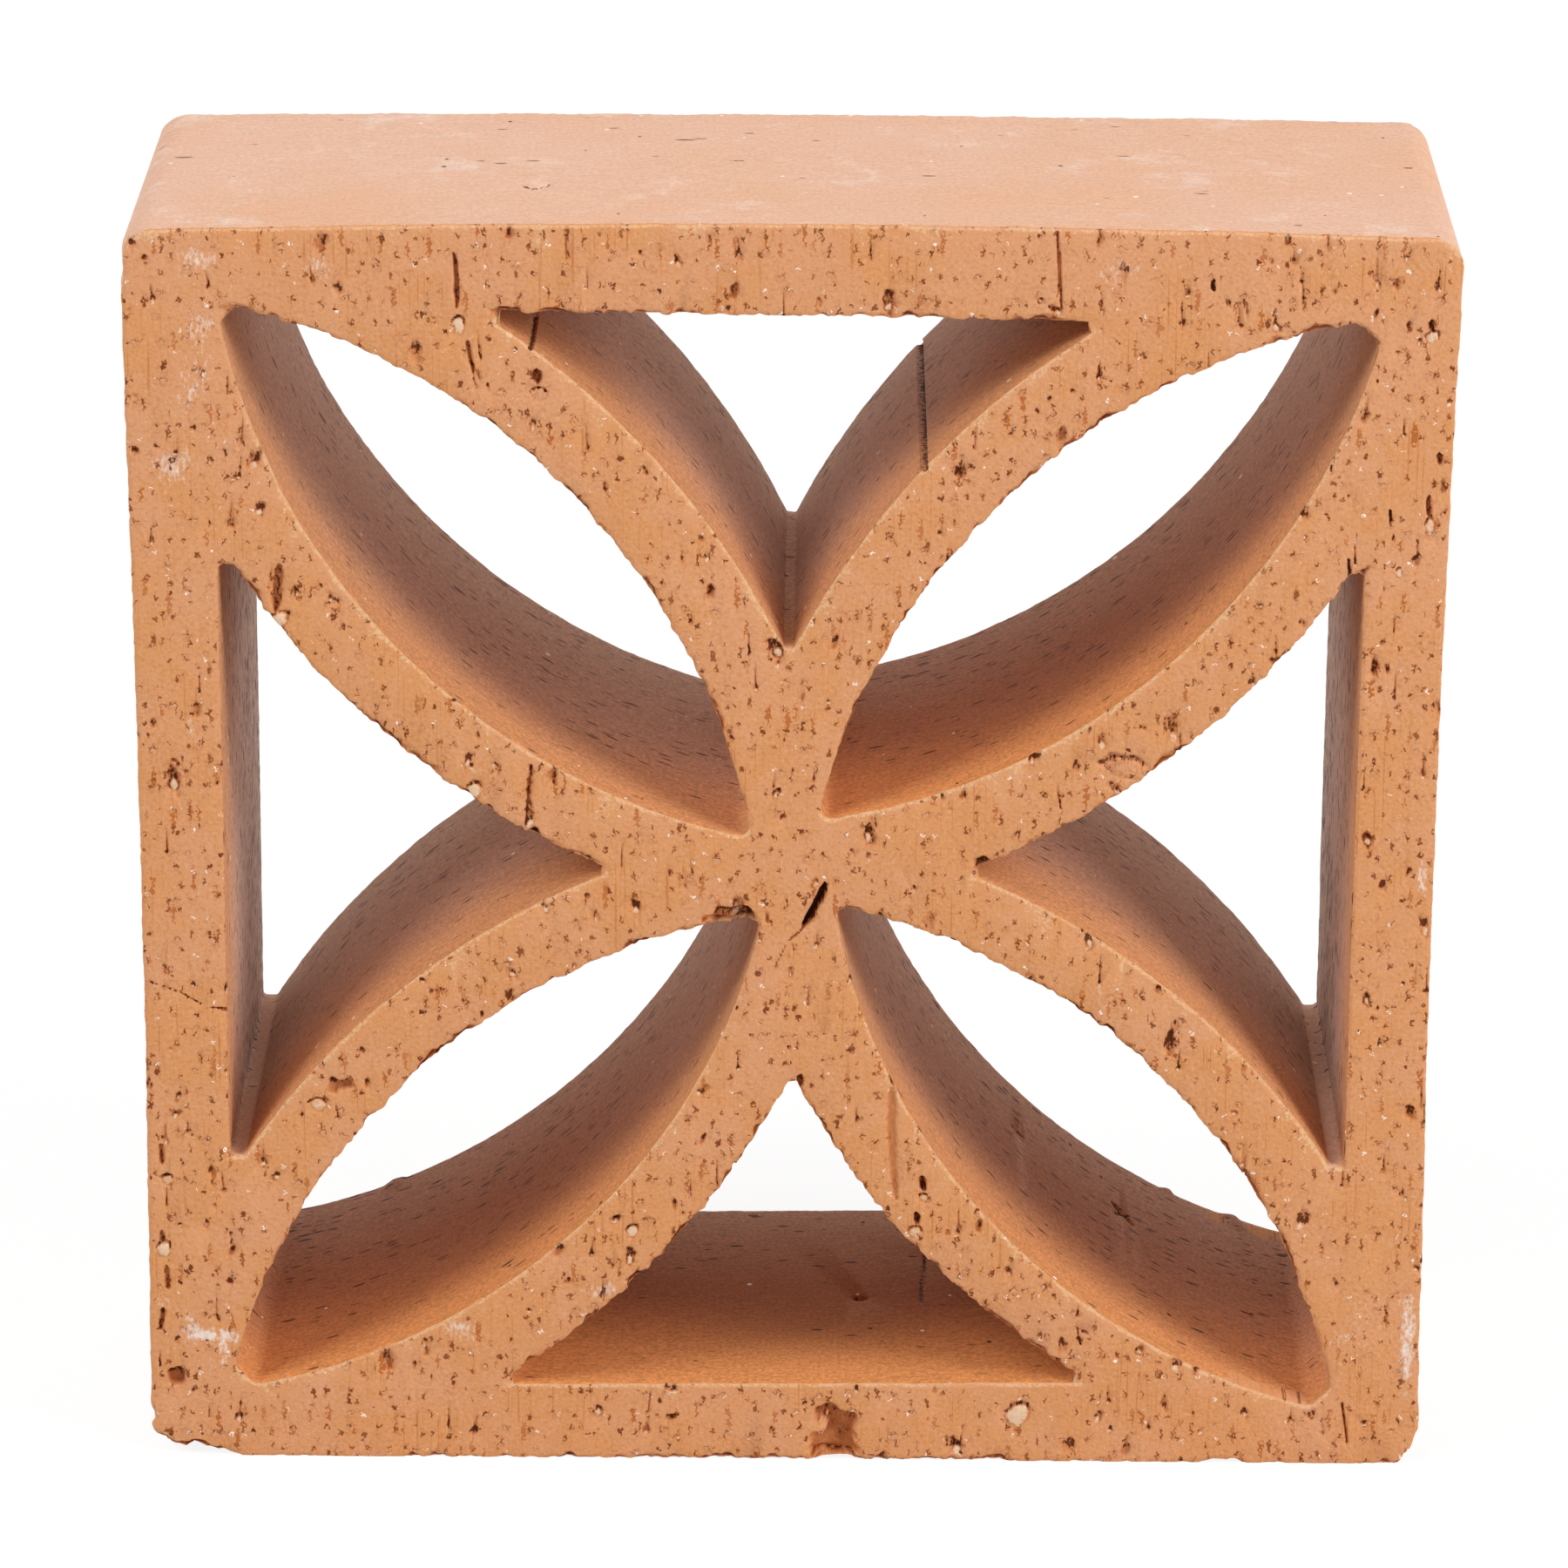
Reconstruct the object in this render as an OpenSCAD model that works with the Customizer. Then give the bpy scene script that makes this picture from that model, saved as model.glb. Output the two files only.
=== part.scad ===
// Terracotta breeze block: one extruded and fired clay unit, pierced by four
// pointed petals on the diagonals and four curved triangles between them.
// Stands on its bed face: X across, Y through the wall, Z up, front towards -Y.

/* [Block] */
// Width across the wall face
block_w = 190; // [160:1:230]
// Height of the wall face
block_h = 190; // [160:1:230]
// Depth through the wall
block_d = 65; // [40:1:120]
// Radius of the four long outer corners
corner_r = 4.5; // [1:0.5:9]

/* [Frame] */
// Thickness of the two upright sides of the frame
side_wall = 13; // [10:0.5:16]
// Thickness of the top and bottom of the frame
bed_wall = 12; // [9:0.5:15]
// Clay left between a petal's outer point and the block's corner, on the diagonal
corner_wall = 15.8; // [13:0.2:20]

/* [Petals] */
// Distance from the block's centre to the inner point of a petal
hub_r = 8.2; // [6:0.2:12]
// Width of a petal at its middle
petal_w = 34; // [28:0.5:38]
// Width of the flat that blunts the inner point of a petal
petal_inner_flat = 1.5; // [1:0.1:4]
// Width of the flat that blunts the outer point of a petal
petal_outer_flat = 4.4; // [1:0.2:6]

/* [Webs] */
// Thickness of the webs beside the top and bottom triangles, at mid length
bed_web = 13.2; // [9:0.2:16]
// Thickness of the webs beside the left and right triangles, at mid length
side_web = 10; // [8:0.2:14]
// Radius that a triangle's curved sides add to an even web's, so webs thicken at their ends
web_flare = 8; // [0:0.5:16]
// Width of the flat that ends each triangle's inner point
apex_flat = 1.8; // [1:0.2:4]
// Height of the flat that ends each triangle's outer corners
corner_flat = 2; // [0.8:0.2:3]

/* [Hidden] */
$fn = 96;
clay = [0.84, 0.60, 0.43];
through = block_d + 2;
petal_turn = atan2(block_h, block_w);
petal_len = norm([block_w, block_h]) / 2 - corner_wall - hub_r;
petal_mid = hub_r + petal_len / 2;
petal_r = (pow(petal_len / 2, 2) + pow(petal_w / 2, 2)) / petal_w;
petal_off = petal_r - petal_w / 2;
petal_axis = [cos(petal_turn), sin(petal_turn)];
petal_side = [sin(petal_turn), -cos(petal_turn)];
arc_below = petal_mid * petal_axis + (petal_off + web_flare) * petal_side;
arc_above = petal_mid * petal_axis - (petal_off + web_flare) * petal_side;

// Outline of the block, seen square on to the wall face, bed at the bottom.
module block_outline() {
  translate([corner_r - block_w / 2, 0])
    square([block_w - 2 * corner_r, block_h]);
  translate([-block_w / 2, corner_r])
    square([block_w, block_h - 2 * corner_r]);
  for (x = [corner_r - block_w / 2, block_w / 2 - corner_r], z = [corner_r, block_h - corner_r])
    translate([x, z])
      circle(r = corner_r);
}

// Distance from a petal's middle to where it has narrowed to the width of a flat.
function tip_at(flat) = sqrt(pow(petal_r, 2) - pow(petal_off + flat / 2, 2));

// A petal lying along +X: two arcs that cross, with both points blunted.
module petal() {
  intersection() {
    translate([0, petal_off])
      circle(r = petal_r);
    translate([0, -petal_off])
      circle(r = petal_r);
    translate([-tip_at(petal_inner_flat), -petal_w])
      square([tip_at(petal_inner_flat) + tip_at(petal_outer_flat), 2 * petal_w]);
  }
}

// A triangle with its point towards the centre and its straight side on the
// frame. Each curved side keeps a web's thickness from the petal beside it and
// is a little flatter than that petal's arc.
module triangle(arc_centre, web, base) {
  arc_r = petal_r + web + web_flare;
  point_y = arc_centre.y + sqrt(pow(arc_r, 2) - pow(arc_centre.x - apex_flat / 2, 2));
  corner_x = arc_centre.x - sqrt(pow(arc_r, 2) - pow(base - corner_flat - arc_centre.y, 2));
  difference() {
    translate([-corner_x, point_y])
      square([2 * corner_x, base - point_y]);
    for (side = [-1, 1])
      translate([side * arc_centre.x, arc_centre.y])
        circle(r = arc_r);
  }
}

// All eight openings, about the middle of the wall face.
module openings() {
  for (turn = [petal_turn, 180 - petal_turn, 180 + petal_turn, -petal_turn])
    rotate(turn)
      translate([petal_mid, 0])
        petal();
  for (turn = [0, 180])
    rotate(turn)
      triangle(arc_below, bed_web, block_h / 2 - bed_wall);
  for (turn = [90, 270])
    rotate(turn)
      triangle([arc_above.y, arc_above.x], side_web, block_w / 2 - side_wall);
}

// The fired block, cut square at front and back.
module breeze_block() {
  color(clay)
    difference() {
      translate([0, block_d / 2, 0])
        rotate([90, 0, 0])
          linear_extrude(height = block_d)
            block_outline();
      translate([0, through / 2, block_h / 2])
        rotate([90, 0, 0])
          linear_extrude(height = through)
            openings();
    }
}

breeze_block();
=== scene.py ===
"""Looks of a fired-clay breeze block: wire-cut faces, die-smoothed walls and firing marks.

Sizes are in millimetres unless a name says otherwise. Points are measured from the
middle of the block: x to the right, y from front to back, z up.
"""

import logging
import math
from collections.abc import Callable
from dataclasses import dataclass, field
from enum import Enum

import bpy
import numpy as np
from mathutils import Matrix


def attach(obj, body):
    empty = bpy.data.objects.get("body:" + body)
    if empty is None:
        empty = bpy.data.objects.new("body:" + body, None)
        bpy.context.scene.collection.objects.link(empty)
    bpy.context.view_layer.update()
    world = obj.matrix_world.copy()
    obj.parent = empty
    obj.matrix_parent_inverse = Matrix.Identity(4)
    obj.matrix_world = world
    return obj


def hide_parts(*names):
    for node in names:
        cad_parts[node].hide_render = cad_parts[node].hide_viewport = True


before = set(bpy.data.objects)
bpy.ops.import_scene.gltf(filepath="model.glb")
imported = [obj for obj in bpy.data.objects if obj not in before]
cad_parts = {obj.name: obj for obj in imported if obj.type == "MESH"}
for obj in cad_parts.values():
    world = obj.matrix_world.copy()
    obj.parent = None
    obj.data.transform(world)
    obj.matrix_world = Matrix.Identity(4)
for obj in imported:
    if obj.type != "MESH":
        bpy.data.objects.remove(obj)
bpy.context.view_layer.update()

LOG = logging.getLogger("breeze_block")
MM = 0.001
# Marks that the mesh carries for the finishes. The mark of pits is painted shade in pits, grooves,
# breaks, stone gaps and scars; the mark of rims is a painted highlight along edges that face up.
MARKS = ("pit_shade", "grit", "chalk", "torn", "lit_rim")
Array = np.ndarray
Gap = Callable[[Array, Array], Array]
Colour = tuple[float, float, float, float]
Tree = bpy.types.NodeTree
Socket = bpy.types.NodeSocket
Value = Socket | float
Range = tuple[Value, Value]


def smooth(low: float, high: float, value: Array) -> Array:
    """Eases from 0 at low to 1 at high, which may be the smaller of the two."""
    t = np.clip((value - low) / (high - low), 0.0, 1.0)
    return t * t * (3.0 - 2.0 * t)


def soft_max(first: Array, second: Array, round_off: float) -> Array:
    """Larger of two distances, with the corner between them rounded off over round_off."""
    near = np.maximum(round_off - np.abs(first - second), 0.0) / round_off
    return np.maximum(first, second) + near * near * round_off / 4


def clay_noise(points: Array, cell: tuple[float, float, float], seed: int) -> Array:
    """Smooth random values on a lattice, as lumps in the clay.

    Args:
        points: Points, N by 3.
        cell: Size of a lump along x, y and z.
        seed: Which lattice to draw.

    Returns:
        One value from -1 to 1 for each point.
    """
    count = 64
    table = np.random.default_rng(seed).uniform(-1.0, 1.0, (count, count, count))
    at = points / np.asarray(cell, float)
    low = np.floor(at).astype(int)
    t = at - low
    t = t * t * (3.0 - 2.0 * t)
    total = np.zeros(len(points))
    for corner in np.ndindex(2, 2, 2):
        share = np.prod(np.where(np.array(corner) == 1, t, 1.0 - t), axis=1)
        i, j, k = ((low + corner) % count).T
        total += share * table[i, j, k]
    return total


class Opening(Enum):
    """The eight openings, by the turn in degrees that brings each to its place."""

    PETAL_UPPER_RIGHT = 45
    PETAL_UPPER_LEFT = 135
    PETAL_LOWER_LEFT = 225
    PETAL_LOWER_RIGHT = 315
    TRIANGLE_TOP = 0
    TRIANGLE_LEFT = 90
    TRIANGLE_BOTTOM = 180
    TRIANGLE_RIGHT = 270

    @property
    def is_petal(self) -> bool:
        """Whether it is one of the four petals."""
        return self.name.startswith("PETAL")


class Side(Enum):
    """The two wire-cut faces, by the way they look along y."""

    FRONT = -1
    BACK = 1


@dataclass(frozen=True)
class DieProfile:
    """Section that the extruder's die gives the clay, with the sizes of the solid.

    Only the flats of the points and the small rounds are finer than in the solid.
    """

    width: float = 190.0
    height: float = 190.0
    depth: float = 65.0
    corner_r: float = 4.5
    side_wall: float = 13.0
    bed_wall: float = 12.0
    corner_wall: float = 15.8
    hub_r: float = 8.2
    petal_w: float = 34.0
    petal_inner_flat: float = 1.5
    petal_outer_flat: float = 4.4
    bed_web: float = 13.2
    side_web: float = 10.0
    web_flare: float = 8.0
    apex_flat: float = 1.0
    corner_flat: float = 2.0
    bed_corner_flat: float = 1.0
    petal_round: float = 0.9
    triangle_round: float = 0.3
    sharp_flat: float = 1.2

    @property
    def petal_len(self) -> float:
        """Length of a petal between the points where its arcs cross."""
        return math.hypot(self.width, self.height) / 2 - self.corner_wall - self.hub_r

    @property
    def petal_mid(self) -> float:
        """Distance from the block's middle to a petal's middle."""
        return self.hub_r + self.petal_len / 2

    @property
    def petal_r(self) -> float:
        """Radius of a petal's two arcs."""
        return ((self.petal_len / 2) ** 2 + (self.petal_w / 2) ** 2) / self.petal_w

    def petal_gap(self, u: Array, v: Array, outer_flat: float) -> Array:
        """Distance outside a petal that lies along +u.

        Args:
            u: Distance along the petal from its middle.
            v: Distance across the petal from its axis.
            outer_flat: Width of the flat at its outer end.

        Returns:
            The distance from its edge, below 0 inside the opening.
        """
        off = self.petal_r - self.petal_w / 2
        ends = [
            math.sqrt(self.petal_r**2 - (off + flat / 2) ** 2)
            for flat in (self.petal_inner_flat, outer_flat)
        ]
        arcs = np.hypot(u, np.abs(v) + off) - self.petal_r
        return soft_max(arcs, np.maximum(-ends[0] - u, u - ends[1]), self.petal_round)

    def triangle_sides(self, opening: Opening, a: Array, b: Array) -> tuple[Array, Array, Array]:
        """Distances outside the sides of a triangle whose point looks back along -b.

        Args:
            opening: Which triangle.
            a: Distance across the triangle from its axis.
            b: Distance along its axis from the block's middle.

        Returns:
            The distances from its arcs, from its blunt ends and from its straight side.
        """
        if opening in (Opening.TRIANGLE_TOP, Opening.TRIANGLE_BOTTOM):
            web, base, flat = self.bed_web, self.height / 2 - self.bed_wall, self.bed_corner_flat
        else:
            web, base, flat = self.side_web, self.width / 2 - self.side_wall, self.corner_flat
        off = self.petal_r - self.petal_w / 2 + self.web_flare
        arc_a = (self.petal_mid + off) / math.sqrt(2)
        arc_b = (self.petal_mid - off) / math.sqrt(2)
        arc_r = self.petal_r + web + self.web_flare
        point = arc_b + math.sqrt(arc_r**2 - (arc_a - self.apex_flat / 2) ** 2)
        corner = arc_a - math.sqrt(arc_r**2 - (base - flat - arc_b) ** 2)
        arcs = arc_r - np.hypot(np.abs(a) - arc_a, b - arc_b)
        return arcs, np.maximum(np.abs(a) - corner, point - b), b - base

    def blunt_end(self, opening: Opening, x: Array, z: Array) -> Array:
        """Tells which points are nearest to a blunt end of a triangle."""
        arcs, blunt, straight = self.triangle_sides(opening, *self.turned(opening, x, z))
        return blunt > np.maximum(arcs, straight) - 0.2

    def turned(self, opening: Opening, x: Array, z: Array) -> tuple[Array, Array]:
        """Turns points to an opening's own directions.

        Args:
            opening: Which opening.
            x: Points' x.
            z: Points' z.

        Returns:
            The first and the second coordinate.
        """
        turn = math.radians(opening.value)
        c, s = math.cos(turn), math.sin(turn)
        return x * c + z * s, z * c - x * s

    def gap(self, opening: Opening, x: Array, z: Array) -> Array:
        """Distance of points outside one opening.

        Args:
            opening: Which opening.
            x: Points' x.
            z: Points' z.

        Returns:
            The distance from its edge, below 0 inside the opening.
        """
        along, across = self.turned(opening, x, z)
        if opening.is_petal:
            sharp = opening is Opening.PETAL_UPPER_LEFT
            flat = self.sharp_flat if sharp else self.petal_outer_flat
            return self.petal_gap(along - self.petal_mid, across, flat)
        arcs, blunt, straight = self.triangle_sides(opening, along, across)
        return soft_max(arcs, np.maximum(blunt, straight), self.triangle_round)

    def opening_gap(self, x: Array, z: Array) -> Array:
        """Distance of points from the nearest opening, below 0 inside one."""
        return np.min([self.gap(opening, x, z) for opening in Opening], axis=0)

    def outline_gap(self, x: Array, z: Array) -> Array:
        """Distance of points inside the outer outline.

        Args:
            x: Points' x.
            z: Points' z.

        Returns:
            The distance, below 0 outside the block.
        """
        qx = np.abs(x) - self.width / 2 + self.corner_r
        qz = np.abs(z) - self.height / 2 + self.corner_r
        round_part = np.hypot(np.maximum(qx, 0.0), np.maximum(qz, 0.0))
        return self.corner_r - round_part - np.minimum(np.maximum(qx, qz), 0.0)

    def slope(self, gap: Gap, x: Array, z: Array) -> tuple[Array, Array]:
        """Direction in which a distance grows.

        Args:
            gap: One of the distance methods.
            x: Points' x.
            z: Points' z.

        Returns:
            The x and z parts of the unit direction.
        """
        step = 0.02
        gx = gap(x + step, z) - gap(x - step, z)
        gz = gap(x, z + step) - gap(x, z - step)
        size = np.maximum(np.hypot(gx, gz), 1e-9)
        return gx / size, gz / size

    def nearest_edge(self, x: Array, z: Array) -> tuple[Array, Array, Array, Array]:
        """Finds the nearest edge of the section, of an opening or of the outline.

        Args:
            x: Points' x.
            z: Points' z.

        Returns:
            The distance from it, whether it is the outline, and the x and z parts of the
            direction away from it into the clay.
        """
        opening, outline = self.opening_gap(x, z), self.outline_gap(x, z)
        ox, oz = self.slope(self.opening_gap, x, z)
        ex, ez = self.slope(self.outline_gap, x, z)
        outer = outline < opening
        return np.minimum(opening, outline), outer, np.where(outer, ex, ox), np.where(outer, ez, oz)


@dataclass(frozen=True)
class Drift:
    """How far one opening wandered from the die's pattern while the clay was wet."""

    opening: Opening
    dx: float
    dz: float
    turn_deg: float


@dataclass(frozen=True)
class FiringWarp:
    """Bow, crown and wander that drying and firing gave the block."""

    profile: DieProfile
    bow_left: float = 0.9
    bow_right: float = 1.1
    crown_front: float = 1.6
    crown_back: float = 0.7
    reach: float = 5.0
    triangle_mid: float = 60.0
    drifts: tuple[Drift, ...] = (
        Drift(Opening.PETAL_UPPER_RIGHT, -0.4, 0.3, -1.7),
        Drift(Opening.PETAL_UPPER_LEFT, 1.5, -0.6, -1.4),
        Drift(Opening.PETAL_LOWER_LEFT, 1.4, -1.0, -1.2),
        Drift(Opening.PETAL_LOWER_RIGHT, -0.1, -1.5, -1.9),
        Drift(Opening.TRIANGLE_TOP, 0.3, -1.0, -0.6),
        Drift(Opening.TRIANGLE_BOTTOM, 1.0, 0.6, 0.6),
        Drift(Opening.TRIANGLE_RIGHT, 1.0, -0.7, 0.0),
        Drift(Opening.TRIANGLE_LEFT, -0.5, -0.5, -0.2),
    )

    def shift(self, points: Array) -> Array:
        """Moves that the warp gives to points.

        Args:
            points: Points, N by 3.

        Returns:
            The move of each point, N by 3.
        """
        x, y, z = points.T
        half_w, half_h = self.profile.width / 2, self.profile.height / 2
        move = np.zeros_like(points)
        total = np.zeros(len(points))
        for drift in self.drifts:
            gap = np.maximum(self.profile.gap(drift.opening, x, z), 0.0)
            share = np.exp(-((gap / self.reach) ** 2) / 2)
            turn = math.radians(drift.turn_deg)
            petal = drift.opening.is_petal
            far = self.profile.petal_mid if petal else self.triangle_mid
            toward = math.radians(drift.opening.value + (0 if petal else 90))
            rx, rz = x - far * math.cos(toward), z - far * math.sin(toward)
            move[:, 0] += share * (drift.dx - turn * rz)
            move[:, 2] += share * (drift.dz + turn * rx)
            total += share
        move /= np.maximum(total, 1.0)[:, None]
        bow = np.where(x < 0, self.bow_left, self.bow_right)
        move[:, 0] -= np.sign(x) * bow * (x / half_w) ** 2 * (1 - (z / half_h) ** 2)
        back = y / self.profile.depth + 0.5
        crown = self.crown_front + (self.crown_back - self.crown_front) * back
        move[:, 2] += np.where(z > 0, crown * (z / half_h) ** 2 * (1 - (x / half_w) ** 2), 0.0)
        return move


@dataclass(frozen=True)
class Groove:
    """A furrow that a dragged stone or a crack leaves in a cut face."""

    x0: float
    z0: float
    x1: float
    z1: float
    wide: float
    deep: float
    shade: float = 0.45


@dataclass(frozen=True)
class Stone:
    """A pale stone or grain that shows in a cut face."""

    x: float
    z: float
    wide: float
    high: float
    proud: float = 0.2
    pale: float = 0.9


@dataclass(frozen=True)
class Smear:
    """A patch of pale chalk rubbed on to a cut face."""

    x: float
    z: float
    wide: float
    high: float
    pale: float = 0.8


@dataclass(frozen=True)
class Break:
    """A broken-out place on the edge of a cut face."""

    x: float
    z: float
    wide: float
    high: float
    deep: float
    shade: float = 0.8


@dataclass(frozen=True)
class Chip:
    """A place where the edge of a cut face is worn back, or stands proud if below 0."""

    x: float
    z: float
    reach: float
    back: float


@dataclass(frozen=True)
class Scar:
    """A straight crack or gouge in a face that slid along the die."""

    start: tuple[float, float, float]
    end: tuple[float, float, float]
    wide: float
    deep: float


@dataclass
class FaceClay:
    """The clay close to one cut face, and what its marks have done to it so far.

    The points' inset is their depth below the face, and edge is their distance from the nearest
    edge of the section, which away_x and away_z lead away from. Crumb and rough are the small and
    the larger lumps that make every mark uneven. Deep is how far the marks sink each point.
    """

    points: Array
    inset: Array
    flat: Array
    edge: Array
    outer: Array
    away_x: Array
    away_z: Array
    crumb: Array
    rough: Array
    deep: Array = field(init=False)
    pit_shade: Array = field(init=False)
    grit: Array = field(init=False)
    chalk: Array = field(init=False)
    torn: Array = field(init=False)
    lit_rim: Array = field(init=False)

    def __post_init__(self) -> None:
        """Starts without marks."""
        for name in ("deep", *MARKS):
            setattr(self, name, np.zeros(len(self.points)))

    @property
    def x(self) -> Array:
        """The points' x."""
        return self.points[:, 0]

    @property
    def z(self) -> Array:
        """The points' z."""
        return self.points[:, 2]

    def raise_to(self, name: str, value: Array, hit: Array | slice = slice(None)) -> None:
        """Raises one of the marks, or deep, where it is still lower."""
        mark = getattr(self, name)
        mark[hit] = np.maximum(mark[hit], value)


@dataclass
class CutFace:
    """One wire-cut face: pits where the wire plucked grit, and torn lower edges."""

    side: Side
    profile: DieProfile
    seed: int
    pits: int = 800
    grooves: tuple[Groove, ...] = ()
    stones: tuple[Stone, ...] = ()
    smears: tuple[Smear, ...] = ()
    breaks: tuple[Break, ...] = ()
    chips: tuple[Chip, ...] = ()
    working_depth: float = 6.0
    crumb: float = 0.8
    rough: float = 1.7
    pit_least: float = 0.30
    pit_spread: float = 0.22
    pit_most: float = 1.3
    edge_wear: float = 0.16
    edge_round: float = 0.12
    ripple: float = 0.07

    def carve(self, points: Array, marks: dict[str, Array]) -> Array:
        """Works out how the wire's marks move the points of this face.

        Args:
            points: Points of the whole block before the warp, N by 3.
            marks: Strength of each mark at each point, which is added to.

        Returns:
            The move of each point, N by 3.
        """
        outward = float(self.side.value)
        inset = self.profile.depth / 2 - outward * points[:, 1]
        near = np.nonzero(inset < self.working_depth)[0]
        clay = self.wet_clay(points[near], inset[near])
        self.pluck(clay)
        self.plough(clay)
        self.bed_stones(clay)
        self.rub(clay)
        self.break_out(clay)
        push = self.tear(clay)
        move = np.zeros_like(points)
        move[near, 0] += clay.away_x * push
        move[near, 2] += clay.away_z * push
        move[near, 1] -= outward * clay.deep
        for name in MARKS:
            marks[name][near] = np.maximum(marks[name][near], getattr(clay, name))
        return move

    def wet_clay(self, points: Array, inset: Array) -> FaceClay:
        """Takes up the clay close to this face, before any mark.

        Args:
            points: Points close to the face, N by 3.
            inset: Their depth below it.

        Returns:
            The clay to mark.
        """
        edge, outer, away_x, away_z = self.profile.nearest_edge(points[:, 0], points[:, 2])
        crumb = clay_noise(points, (self.crumb,) * 3, self.seed + 9)
        rough = clay_noise(points, (self.rough,) * 3, self.seed + 11)
        return FaceClay(points, inset, inset < 0.01, edge, outer, away_x, away_z, crumb, rough)

    def pluck(self, clay: FaceClay) -> None:
        """Scatters pits that plucked grit left, some with a grain in them or a furrow above.

        Args:
            clay: The clay to mark.
        """
        rng = np.random.default_rng(self.seed)
        half_w, half_h = self.profile.width / 2, self.profile.height / 2
        x, z = clay.x, clay.z
        for _ in range(self.pits):
            px, pz = rng.uniform(-half_w, half_w), rng.uniform(-half_h, half_h)
            wide = min(self.pit_least + self.pit_spread * rng.exponential(1.0), self.pit_most)
            high = wide * rng.uniform(0.8, 2.2)
            depth = wide * rng.uniform(0.4, 1.0)
            lean = rng.uniform(-0.5, 0.5)
            black = rng.uniform(0.35, 1.0)
            grain = float(rng.random() < 0.4)
            trail = rng.uniform(1.5, 5.0) if rng.random() < 0.3 else 0.0
            reach = 1.5 * max(wide, high)
            around = (np.abs(x - px) < reach) & (z > pz - reach) & (z < pz + reach + trail)
            hit = np.nonzero(around & clay.flat)[0]
            if not len(hit):
                continue
            crumb = clay.crumb[hit]
            v = (z[hit] - pz) / high
            u = (x[hit] - px) / wide + lean * v
            r = np.hypot(u, v) * (1 + 0.5 * crumb) + 0.3 * clay.rough[hit]
            bowl = smooth(0.95, 0.45, r)
            seat = smooth(0.7, 0.35, np.hypot(u / 0.85, (v + 0.4) / 0.65) + 0.3 * crumb) * grain
            furrow = smooth(0.55, 0.1, np.abs(x[hit] - px) / wide) * (z[hit] > pz)
            furrow *= smooth(pz + trail + 0.6, pz + 0.3 * trail, z[hit]) if trail else 0.0
            # Painted shade: the upper part of each pit and the furrow above it are darkened as if in
            # shadow.
            shade = np.maximum(bowl * smooth(-0.7, 0.1, v), 0.5 * furrow)
            clay.raise_to("deep", np.maximum(depth * bowl * (1 - 0.8 * seat), 0.4 * furrow), hit)
            clay.raise_to("pit_shade", black * shade * (1 - seat), hit)
            clay.raise_to("torn", np.maximum(0.75 * smooth(1.3, 0.6, r), 0.7 * furrow), hit)
            clay.raise_to("grit", 0.8 * seat, hit)

    def plough(self, clay: FaceClay) -> None:
        """Cuts the grooves, narrower at their ends.

        Args:
            clay: The clay to mark.
        """
        for groove in self.grooves:
            ax, az = groove.x1 - groove.x0, groove.z1 - groove.z0
            dx, dz = clay.x - groove.x0, clay.z - groove.z0
            t = np.clip((dx * ax + dz * az) / (ax * ax + az * az), 0.0, 1.0)
            off = np.hypot(dx - t * ax, dz - t * az) + 0.12 * clay.crumb
            half = groove.wide / 2 * (1 - (2 * t - 1) ** 4 * 0.7)
            cut = smooth(1.0, 0.35, off / half) * clay.flat
            clay.raise_to("deep", groove.deep * cut)
            # Painted shade along the groove.
            clay.raise_to("pit_shade", groove.shade * cut)
            clay.raise_to("torn", cut)

    def bed_stones(self, clay: FaceClay) -> None:
        """Beds the stones as six-sided grains, with a gap that the wire tore above each.

        Args:
            clay: The clay to mark.
        """
        sides = (0.3, 1.4, 2.2, 3.5, 4.4, 5.6)
        for stone in self.stones:
            u, v = 2 * (clay.x - stone.x) / stone.wide, 2 * (clay.z - stone.z) / stone.high
            r = np.max([u * math.cos(side) + v * math.sin(side) for side in sides], axis=0)
            r = r * (1 + 0.25 * clay.crumb) + 0.15 * clay.rough
            seat = smooth(1.0, 0.75, r) * clay.flat
            moat = smooth(1.5, 1.1, r) * smooth(-0.3, 0.6, v + 0.4 * clay.crumb) * clay.flat
            ring = smooth(1.35, 1.1, r) * clay.flat
            clay.deep = np.maximum(clay.deep, np.maximum(0.7 * moat, 0.2 * ring)) * (1 - seat)
            clay.deep -= (stone.proud + 0.3 * clay.crumb) * seat
            # Painted shade in the gap above the stone.
            clay.pit_shade = np.maximum(clay.pit_shade, 0.5 * moat) * (1 - seat)
            clay.raise_to("torn", 0.35 * ring)
            clay.raise_to("grit", stone.pale * seat)

    def rub(self, clay: FaceClay) -> None:
        """Rubs the chalk smears on.

        Args:
            clay: The clay to mark.
        """
        for smear in self.smears:
            r = np.hypot((clay.x - smear.x) / smear.wide, (clay.z - smear.z) / smear.high) * 2
            chalk = smear.pale * smooth(1.1, 0.1, r + 0.4 * clay.rough)
            clay.raise_to("chalk", chalk)
            clay.deep -= 0.12 * clay.crumb * chalk * clay.flat

    def break_out(self, clay: FaceClay) -> None:
        """Breaks the crumbled places out of the edges, with painted shade under their upper side.

        Args:
            clay: The clay to mark.
        """
        for broken in self.breaks:
            v = 2 * (clay.z - broken.z) / broken.high
            r = np.cbrt((2 * np.abs(clay.x - broken.x) / broken.wide) ** 3 + np.abs(v) ** 3)
            hole = smooth(1.1, 0.75, r + 0.45 * clay.rough + 0.3 * clay.crumb)
            clay.raise_to("deep", broken.deep * hole * (1 + 0.35 * clay.rough) * clay.flat)
            clay.raise_to("torn", hole)
            clay.raise_to("pit_shade", broken.shade * hole * smooth(-0.3, 0.6, v + 0.6 * clay.crumb))

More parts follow.
